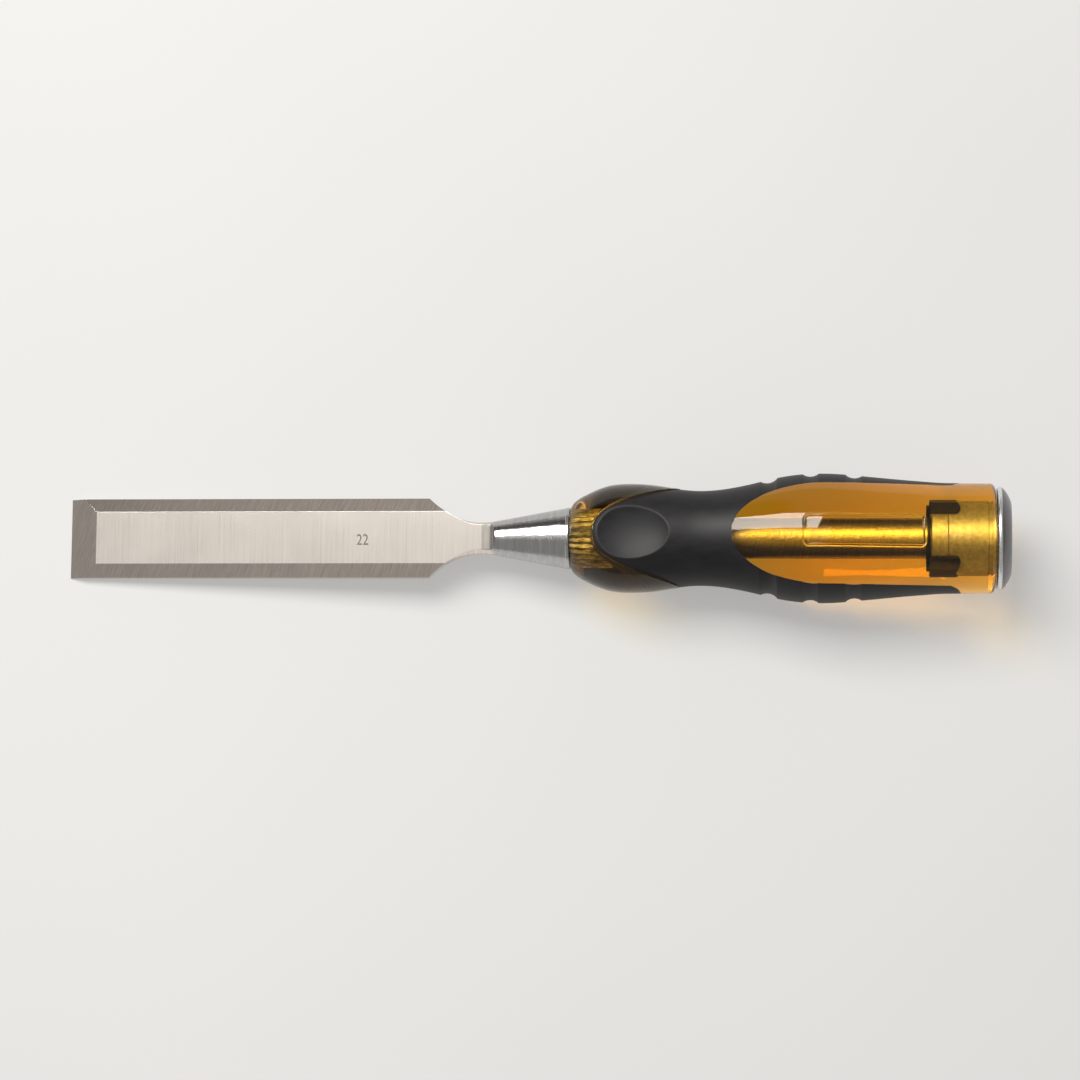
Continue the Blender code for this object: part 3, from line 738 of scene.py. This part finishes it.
class Nodes:
    """Short calls for a material's node tree. Its coordinates are the tool's own, in metres."""

    place = Matrix.Identity(4)

    def __init__(self, name):
        self.material = bpy.data.materials.new(name)
        self.material.use_nodes = True
        self.tree = self.material.node_tree
        self.shader = self.tree.nodes["Principled BSDF"]
        self.output = self.tree.nodes["Material Output"]
        self.coordinates = self.tool_coordinates()

    def tool_coordinates(self):
        source = self.tree.nodes.new("ShaderNodeTexCoord")
        back = self.tree.nodes.new("ShaderNodeMapping")
        back.vector_type = "TEXTURE"
        back.inputs["Location"].default_value = self.place.translation
        back.inputs["Rotation"].default_value = self.place.to_euler()
        self.tree.links.new(source.outputs["Object"], back.inputs["Vector"])
        return back.outputs["Vector"]

    def add(self, kind, **values):
        node = self.tree.nodes.new(kind)
        for key, value in values.items():
            setattr(node, key, value)
        return node

    def link(self, source, target):
        self.tree.links.new(source, target)

    def feed(self, socket, source):
        """Link a value that varies over the surface to one of the shader's sockets."""
        self.link(source, self.shader.inputs[socket])

    def set(self, socket, value):
        self.shader.inputs[socket].default_value = value

    def scaled(self, scale, turn=None):
        """The tool's coordinates scaled along each axis, turned beforehand if asked."""
        source = self.coordinates
        if turn is not None:
            turned = self.add("ShaderNodeMapping")
            turned.inputs["Rotation"].default_value = turn
            self.link(source, turned.inputs["Vector"])
            source = turned.outputs["Vector"]
        node = self.add("ShaderNodeMapping")
        node.inputs["Scale"].default_value = scale
        self.link(source, node.inputs["Vector"])
        return node.outputs["Vector"]

    def station_and_height(self):
        """A point's distance along the tool, and its height above the tool's axis."""
        parts = self.add("ShaderNodeSeparateXYZ")
        self.link(self.coordinates, parts.inputs["Vector"])
        return parts.outputs["X"], parts.outputs["Z"]

    def noise(self, scale, detail=2.0, roughness=0.5, turn=None):
        """Noise whose grain is as fine along each axis as the scale says, in cycles per metre."""
        node = self.add("ShaderNodeTexNoise")
        node.inputs["Scale"].default_value = 1.0
        node.inputs["Detail"].default_value = detail
        node.inputs["Roughness"].default_value = roughness
        self.link(self.scaled(scale, turn), node.inputs["Vector"])
        return node.outputs["Fac"]

    def ramp(self, factor, *stops):
        """Colour at a factor, from (position, colour) stops."""
        node = self.add("ShaderNodeValToRGB")
        elements = node.color_ramp.elements
        while len(elements) < len(stops):
            elements.new(0.5)
        for element, (position, colour) in zip(elements, stops):
            element.position = position
            element.color = (*colour, 1.0)
        self.link(factor, node.inputs["Fac"])
        return node.outputs["Color"]

    def remap(self, value, low, high, start=0.0, end=1.0):
        """Values from low to high as the given value goes from start to end, and no further."""
        node = self.add("ShaderNodeMapRange")
        for key, number in (("From Min", start), ("From Max", end), ("To Min", low), ("To Max", high)):
            node.inputs[key].default_value = number
        self.link(value, node.inputs["Value"])
        return node.outputs["Result"]

    def maths(self, operation, first, second):
        node = self.add("ShaderNodeMath", operation=operation)
        self.fill(node.inputs[0], first)
        self.fill(node.inputs[1], second)
        return node.outputs["Value"]

    def mix(self, factor, first, second):
        node = self.add("ShaderNodeMix", data_type="RGBA")
        self.fill(node.inputs[0], factor)
        self.fill(node.inputs[6], first)
        self.fill(node.inputs[7], second)
        return node.outputs[2]

    def fill(self, target, source):
        """Give an input its number or its colour, or link it."""
        if isinstance(source, float):
            target.default_value = source
        elif isinstance(source, tuple):
            target.default_value = (*source, 1.0)
        else:
            self.link(source, target)

    def worn_edges(self, radius):
        """Normals that round the sharp edges off."""
        node = self.add("ShaderNodeBevel", samples=8)
        node.inputs["Radius"].default_value = radius
        return node.outputs["Normal"]

    def bump(self, height, distance, strength, normal=None):
        """Raise the surface by a height map, over the given normals."""
        node = self.add("ShaderNodeBump")
        node.inputs["Strength"].default_value = strength
        node.inputs["Distance"].default_value = distance
        self.link(height, node.inputs["Height"])
        if normal is not None:
            self.link(normal, node.inputs["Normal"])
        self.feed("Normal", node.outputs["Normal"])


def blade_material():
    """Steel ground across the blade and polished on the bolster. Painted light: the flat and the bevels
    are one steel in two tones, a darker flat and lighter bevels, set for how the lamps fall on them; a
    painted highlight runs along the edge between them, and painted shade darkens the blade towards its
    tip.
    """
    n = Nodes("ground_steel")
    station, height = n.station_and_height()
    flat_height = n.maths("ADD", n.maths("MULTIPLY", station, TOP_SLOPE), top_height(0.0))
    below = n.maths("SUBTRACT", flat_height, height)
    bevel = n.remap(below, 0.0, 1.0, 0.01 * MM, 0.05 * MM)
    # Painted highlight: a bright line along the edge between the flat and the bevels.
    painted_arris_highlight = n.maths("MULTIPLY", bevel, n.remap(below, 1.0, 0.0, 0.05 * MM, 0.13 * MM))
    bolster = n.remap(station, 0.0, 1.0, 117.6 * MM, 118.6 * MM)
    tang = n.remap(station, 0.0, 1.0, 140.0 * MM, 141.0 * MM)
    # Painted shade: the blade darkens towards its tip.
    painted_tip_shade = n.remap(station, 0.14, 0.0, 0.0, SHOULDER_STATION)

    fine = n.noise((7000.0, 60.0, 200.0), detail=3.0, roughness=0.65)
    broad = n.noise((1300.0, 12.0, 60.0))
    slant = n.noise((2600.0, 160.0, 160.0), detail=3.0, roughness=0.6, turn=(0.0, 0.0, 0.35))
    cloud = n.noise((70.0, 70.0, 70.0), detail=3.0)
    nicks = n.noise((420.0, 1500.0, 1500.0), roughness=0.8)
    chatter = n.noise((2200.0, 1100.0, 1100.0), roughness=0.7)
    straight = n.maths("ADD", n.maths("MULTIPLY", fine, 0.55), n.maths("MULTIPLY", broad, 0.45))
    turning = n.maths("MULTIPLY", n.maths("SUBTRACT", slant, straight), bevel)
    lines = n.maths("ADD", straight, turning)
    scratch = n.maths("MULTIPLY", n.remap(nicks, 0.0, 1.0, 0.66, 0.70), bevel)

    # Painted light: the flat gets a darker copy of the steel and the bevels a lighter one, set for how
    # the lamps fall on each face.
    flat = n.ramp(
        lines,
        (0.3, (0.40, 0.367, 0.334)),
        (0.5, (0.45, 0.415, 0.38)),
        (0.7, (0.485, 0.449, 0.413)),
    )
    side = n.ramp(
        lines,
        (0.3, (0.65, 0.565, 0.50)),
        (0.5, (0.755, 0.665, 0.595)),
        (0.7, (0.85, 0.755, 0.685)),
    )
    bright = n.ramp(lines, (0.35, (0.40, 0.396, 0.392)), (0.65, (0.54, 0.536, 0.532)))
    tone = n.mix(bevel, flat, side)
    # The painted edge highlight and the real scratches on the bevels share one bright colour.
    tone = n.mix(n.maths("MAXIMUM", painted_arris_highlight, scratch), tone, (0.80, 0.76, 0.71))
    # Painted shade towards the tip.
    tone = n.mix(painted_tip_shade, tone, (0.10, 0.095, 0.09))
    tone = n.mix(bolster, tone, bright)
    tone = n.mix(n.maths("MULTIPLY", tang, 0.2), tone, (0.06, 0.05, 0.04))
    haze = n.remap(cloud, 0.0, 0.25, 0.4, 0.7)
    n.feed("Base Color", n.mix(haze, tone, (0.5, 0.47, 0.43)))
    n.set("Metallic", 1.0)

    rough = n.maths("ADD", n.remap(lines, 0.11, 0.07), n.remap(cloud, 0.0, 0.02))
    rough = n.maths("ADD", rough, n.maths("MULTIPLY", bolster, 0.04))
    rough = n.maths("ADD", rough, n.maths("MULTIPLY", tang, 0.24))
    n.feed("Roughness", rough)
    uneven = n.maths("ADD", lines, n.maths("MULTIPLY", bolster, n.maths("MULTIPLY", chatter, 12.0)))
    n.bump(uneven, 0.02 * MM, 0.35, n.worn_edges(0.07 * MM))
    return n.material


def turned_material():
    """Turned and splined steel of the tang's collar."""
    n = Nodes("turned_steel")
    streak = n.noise((420.0, 3600.0, 3600.0), detail=4.0, roughness=0.75)
    cloud = n.noise((450.0, 700.0, 700.0), detail=5.0, roughness=0.7)
    tone = n.ramp(streak, (0.36, (0.07, 0.063, 0.056)), (0.64, (0.55, 0.527, 0.504)))
    stain = n.remap(cloud, 0.25, 1.0, 0.40, 0.58)
    n.feed("Base Color", n.mix(stain, (0.03, 0.027, 0.024), tone))
    n.set("Metallic", 1.0)
    n.feed("Roughness", n.remap(cloud, 0.42, 0.58))
    n.bump(streak, 0.12 * MM, 0.5)
    return n.material


def amber_material():
    """Clear amber plastic with a faintly uneven moulded surface. Its shadow lets light through."""
    n = Nodes("amber_plastic")
    n.set("Base Color", (1.0, 0.73, 0.32, 1.0))
    n.set("Roughness", 0.03)
    n.set("IOR", 1.47)
    n.set("Transmission Weight", 1.0)
    n.set("Specular Tint", (1.0, 0.9, 0.78, 1.0))
    wave = n.noise((70.0, 140.0, 140.0), detail=1.0)
    n.bump(wave, 0.25 * MM, 0.1, n.worn_edges(0.25 * MM))
    clear = n.add("ShaderNodeBsdfTransparent")
    clear.inputs["Color"].default_value = (0.98, 0.93, 0.75, 1.0)
    path = n.add("ShaderNodeLightPath")
    mixer = n.add("ShaderNodeMixShader")
    n.link(path.outputs["Is Shadow Ray"], mixer.inputs[0])
    n.link(n.shader.outputs[0], mixer.inputs[1])
    n.link(clear.outputs[0], mixer.inputs[2])
    n.link(mixer.outputs[0], n.output.inputs["Surface"])
    volume = n.add("ShaderNodeVolumeAbsorption")
    volume.inputs["Color"].default_value = (0.95, 0.79, 0.01, 1.0)
    volume.inputs["Density"].default_value = 100.0
    n.link(volume.outputs[0], n.output.inputs["Volume"])
    return n.material


def rubber_material():
    """Matte moulded rubber with a fine grain and faint handling marks."""
    n = Nodes("black_rubber")
    grain = n.noise((4200.0, 4200.0, 4200.0))
    marks = n.noise((160.0, 380.0, 380.0), detail=5.0, roughness=0.7)
    n.feed("Base Color", n.ramp(marks, (0.3, (0.0055, 0.005, 0.0055)), (0.75, (0.0125, 0.0115, 0.012))))
    n.feed("Roughness", n.remap(marks, 0.42, 0.55))
    n.set("Specular IOR Level", 0.27)
    n.bump(grain, 0.03 * MM, 0.3, n.worn_edges(0.8 * MM))
    return n.material


def socket_material():
    """Machined steel of the socket, mottled, with faint turning rings in its gloss."""
    n = Nodes("machined_steel")
    rings = n.noise((3000.0, 200.0, 200.0), detail=3.0, roughness=0.6)
    cloud = n.noise((900.0, 900.0, 900.0), detail=5.0, roughness=0.7)
    n.feed("Base Color", n.ramp(cloud, (0.35, (0.30, 0.295, 0.285)), (0.7, (0.50, 0.49, 0.475))))
    n.set("Metallic", 1.0)
    n.feed("Roughness", n.remap(rings, 0.42, 0.55))
    n.bump(cloud, 0.06 * MM, 0.5)
    return n.material


def mark_material():
    """Dark etched steel of the size mark."""
    n = Nodes("etched_steel")
    grain = n.noise((5000.0, 5000.0, 5000.0))
    n.feed("Base Color", n.ramp(grain, (0.3, (0.075, 0.055, 0.042)), (0.7, (0.13, 0.10, 0.08))))
    n.set("Metallic", 0.2)
    n.feed("Roughness", n.remap(grain, 0.5, 0.7))
    n.bump(grain, 0.02 * MM, 0.3)
    return n.material


def dark_material():
    """Blackened spring steel with a matt, uneven surface."""
    n = Nodes("blackened_steel")
    cloud = n.noise((900.0, 900.0, 900.0), detail=4.0)
    n.feed("Base Color", n.ramp(cloud, (0.3, (0.006, 0.0055, 0.005)), (0.7, (0.02, 0.018, 0.015))))
    n.set("Metallic", 1.0)
    n.feed("Roughness", n.remap(cloud, 0.4, 0.6))
    n.bump(cloud, 0.05 * MM, 0.3)
    return n.material


def cap_material():
    """Plated steel cap with a faint temper tint, brighter on its flange."""
    n = Nodes("plated_steel")
    station = n.station_and_height()[0]
    dome = n.remap(station, 0.0, 1.0, 257.2 * MM, 257.5 * MM)
    cloud = n.noise((220.0, 110.0, 110.0))
    fine = n.noise((3000.0, 900.0, 900.0), detail=3.0)
    tint = n.ramp(
        cloud,
        (0.34, (0.135, 0.155, 0.157)),
        (0.45, (0.17, 0.166, 0.165)),
        (0.55, (0.19, 0.157, 0.168)),
        (0.66, (0.155, 0.158, 0.18)),
    )
    flange = n.ramp(fine, (0.3, (0.70, 0.71, 0.70)), (0.7, (0.84, 0.85, 0.84)))
    n.feed("Base Color", n.mix(dome, flange, tint))
    n.set("Metallic", 1.0)
    n.feed("Roughness", n.remap(fine, 0.2, 0.36))
    n.bump(fine, 0.02 * MM, 0.3)
    return n.material


# Stage

def add_panel(name, lean_back, lean_right, distance, size, radiance, colour):
    """A soft lamp facing the tool, leaning from the zenith towards +Y and +X, in degrees.

    Its first side lies along X, as far as its lean allows.
    """
    facing = Vector((
        math.tan(math.radians(lean_right)),
        math.tan(math.radians(lean_back)),
        1.0,
    )).normalized()
    long_side = Vector((0.0, 1.0, 0.0)).cross(facing).normalized()
    short_side = facing.cross(long_side)
    data = bpy.data.lights.new(name, "AREA")
    data.shape = "RECTANGLE"
    data.size, data.size_y = size
    data.energy = 4.0 * radiance * size[0] * size[1]
    data.color = colour
    lamp = bpy.data.objects.new(name, data)
    bpy.context.scene.collection.objects.link(lamp)
    turn = Matrix((long_side, short_side, facing)).transposed().to_4x4()
    lamp.matrix_world = Matrix.Translation(distance * facing) @ turn
    return lamp


def build_stage():
    """A pale sheet, a broad soft sky with one dark gap, and two soft lamps."""
    floor = make_floor()
    world = bpy.data.worlds.new("studio")
    world.use_nodes = True
    background = world.node_tree.nodes["Background"]
    background.inputs["Strength"].default_value = SKY_STRENGTH
    darken_sky(world.node_tree, background)
    bpy.context.scene.world = world
    for lamp in LAMPS:
        add_panel(*lamp, LAMP_COLOUR)


def make_floor():
    """The pale sheet under the tool, just below its lowest point."""
    work = bmesh.new()
    bmesh.ops.create_grid(work, x_segments=8, y_segments=8, size=FLOOR_HALF_SIDE)
    floor = finish_mesh("floor", work)
    floor.data.transform(Matrix.Translation((0.0, 0.0, -FLOOR_DROP)))
    n = Nodes("floor_sheet")
    cloud = n.noise((3.0, 3.0, 3.0))
    n.feed("Base Color", n.ramp(cloud, (0.3, (0.29, 0.29, 0.287)), (0.7, (0.32, 0.32, 0.317))))
    n.set("Roughness", 0.8)
    n.set("Specular IOR Level", 0.1)
    n.set("Emission Color", (1.0, 0.99, 0.97, 1.0))
    n.set("Emission Strength", 0.36)
    floor.data.materials.append(n.material)
    return floor


def darken_sky(tree, background):
    """Leave a dark gap in the sky, high behind the tool and to its left."""
    place = tree.nodes.new("ShaderNodeTexCoord")
    toward = tree.nodes.new("ShaderNodeVectorMath")
    toward.operation = "DOT_PRODUCT"
    toward.inputs[1].default_value = Vector(GAP_DIRECTION).normalized()
    ramp = tree.nodes.new("ShaderNodeValToRGB")
    stops = zip(ramp.color_ramp.elements, GAP_COSINES, (SKY_COLOUR, GAP_COLOUR))
    for element, cosine, colour in stops:
        element.position = cosine
        element.color = (*colour, 1.0)
    tree.links.new(place.outputs["Generated"], toward.inputs[0])
    tree.links.new(toward.outputs["Value"], ramp.inputs["Fac"])
    tree.links.new(ramp.outputs["Color"], background.inputs["Color"])


def build_camera():
    """A long lens above the tool, leaning a little towards its right side."""
    data = bpy.data.cameras.new("camera")
    data.sensor_width = CAMERA_SENSOR
    data.lens = CAMERA_LENS
    data.clip_start = 0.01
    camera = bpy.data.objects.new("camera", data)
    bpy.context.scene.collection.objects.link(camera)
    camera.rotation_euler = (CAMERA_LEAN, 0.0, CAMERA_TURN)
    away = camera.rotation_euler.to_matrix() @ Vector((0.0, 0.0, 1.0))
    camera.location = Vector(CAMERA_TARGET) + CAMERA_DISTANCE * away
    bpy.context.scene.camera = camera


def build_pieces(place):
    """Make every piece, give it its shading, material and body, and hide the node it replaces."""
    jobs = (
        (make_blade, blade_material, "ground_steel", "blade_tang", 14.0),
        (make_collar, turned_material, "ground_steel", None, 20.0),
        (make_size_mark, mark_material, "ground_steel", None, 30.0),
        (make_handle, amber_material, "amber_plastic", "handle_core", 40.0),
        (make_grip, rubber_material, "black_rubber", "grip", 30.0),
        (make_washer, dark_material, "dark_steel", "tang_washer", 30.0),
        (make_socket, socket_material, "plated_steel", "end_socket", 30.0),
        (make_cap, cap_material, "plated_steel", "strike_cap", 40.0),
    )
    for make, material, slot, node, angle in jobs:
        item = make()
        shade(item, angle)
        item.data.materials.clear()
        item.data.materials.append(material())
        item.data.transform(place)
        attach(item, "root")
        if node is not None:
            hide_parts(node)


def main():
    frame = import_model()
    place = tool_matrix(frame["record"])
    Nodes.place = place
    build_pieces(place)
    build_stage()
    build_camera()
    bpy.context.scene.view_settings.view_transform = "Standard"


main()
